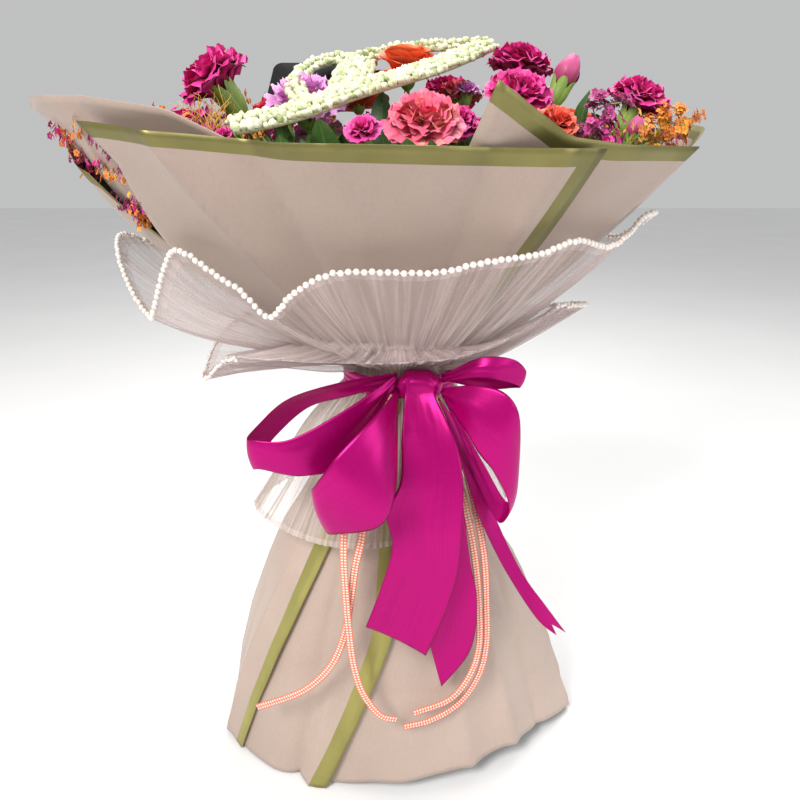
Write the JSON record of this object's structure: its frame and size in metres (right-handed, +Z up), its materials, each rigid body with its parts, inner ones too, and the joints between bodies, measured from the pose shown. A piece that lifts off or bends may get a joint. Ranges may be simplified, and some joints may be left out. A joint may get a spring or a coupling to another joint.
{
  "type": "flower bouquet",
  "caption": "Hand-tied flower bouquet in flared paper wrap with a pearl-edged tulle collar, a satin bow with tails and a paper skirt round the stems.",
  "frame": {"origin": "centre of the middle stem's cut end, on the plane that the stems stand on", "axes": "+Z up from the cut stems to the flowers, +X to the right as seen from the front, +Y to the back; the bow faces -Y"},
  "size_m": [0.4797, 0.3276, 0.628],
  "materials": {
    "magenta": "soft matte petals with a slight sheen",
    "coral": "soft matte petals",
    "orange": "velvety petals",
    "lilac": "soft matte petals",
    "coral_red": "soft matte petals",
    "plum": "dry matte florets",
    "amber": "dry matte florets",
    "gold": "dry matte florets",
    "wrap": "matte wrapping sheet with a metallic gold border",
    "skirt": "matte wrapping sheet with a metallic gold border",
    "tulle": "sheer pleated tulle",
    "pearl": "pearly gloss",
    "satin": "satin sheen",
    "stitched": "matte woven check",
    "garland": "matte, bumpy",
    "card": "smooth, slightly glossy",
    "stem": "waxy green",
    "tape": "crepe tape"
  },
  "bodies": {
    "root": {"binding_tape": "tape", "bow_knot": "satin", "bow_loop_drop": "satin", "bow_loop_left": "satin", "bow_loop_low": "satin", "bow_loop_right": "satin", "bow_tail_back": "satin", "bow_tail_front": "satin", "bow_tail_side": "satin", "bud_magenta_01": "magenta", "bud_magenta_02": "magenta", "carnation_coral_01": "coral", "carnation_coral_02": "coral", "carnation_coral_03": "coral", "carnation_coral_04": "coral", "carnation_magenta_01": "magenta", "carnation_magenta_02": "magenta", "carnation_magenta_03": "magenta", "carnation_magenta_04": "magenta", "carnation_magenta_05": "magenta", "carnation_magenta_06": "magenta", "carnation_magenta_07": "magenta", "carnation_magenta_08": "magenta", "carnation_magenta_09": "magenta", "garland": "garland", "message_card": "card", "mum_lilac_01": "lilac", "mum_lilac_02": "lilac", "mum_lilac_03": "lilac", "pearl_trim": "pearl", "rose_orange_01": "orange", "rose_orange_02": "orange", "rose_orange_03": "orange", "rose_orange_04": "orange", "skirt_back": "skirt", "skirt_front": "skirt", "skirt_left": "skirt", "skirt_right": "skirt", "small_carnation_coral_red_01": "coral_red", "small_carnation_lilac_01": "lilac", "small_carnation_magenta_01": "magenta", "small_carnation_magenta_02": "magenta", "spray_amber_03": "amber", "spray_amber_04": "amber", "spray_amber_05": "amber", "spray_gold_06": "gold", "spray_plum_01": "plum", "spray_plum_02": "plum", "stem_bundle": "stem", "stitched_ribbon_left": "stitched", "stitched_ribbon_right": "stitched", "tulle_collar": "tulle", "tulle_flounce": "tulle", "tulle_under": "tulle", "waist_band": "satin", "wrap_back": "wrap", "wrap_front": "wrap", "wrap_left": "wrap", "wrap_left_outer": "wrap", "wrap_right": "wrap"}
  },
  "joints": []
}
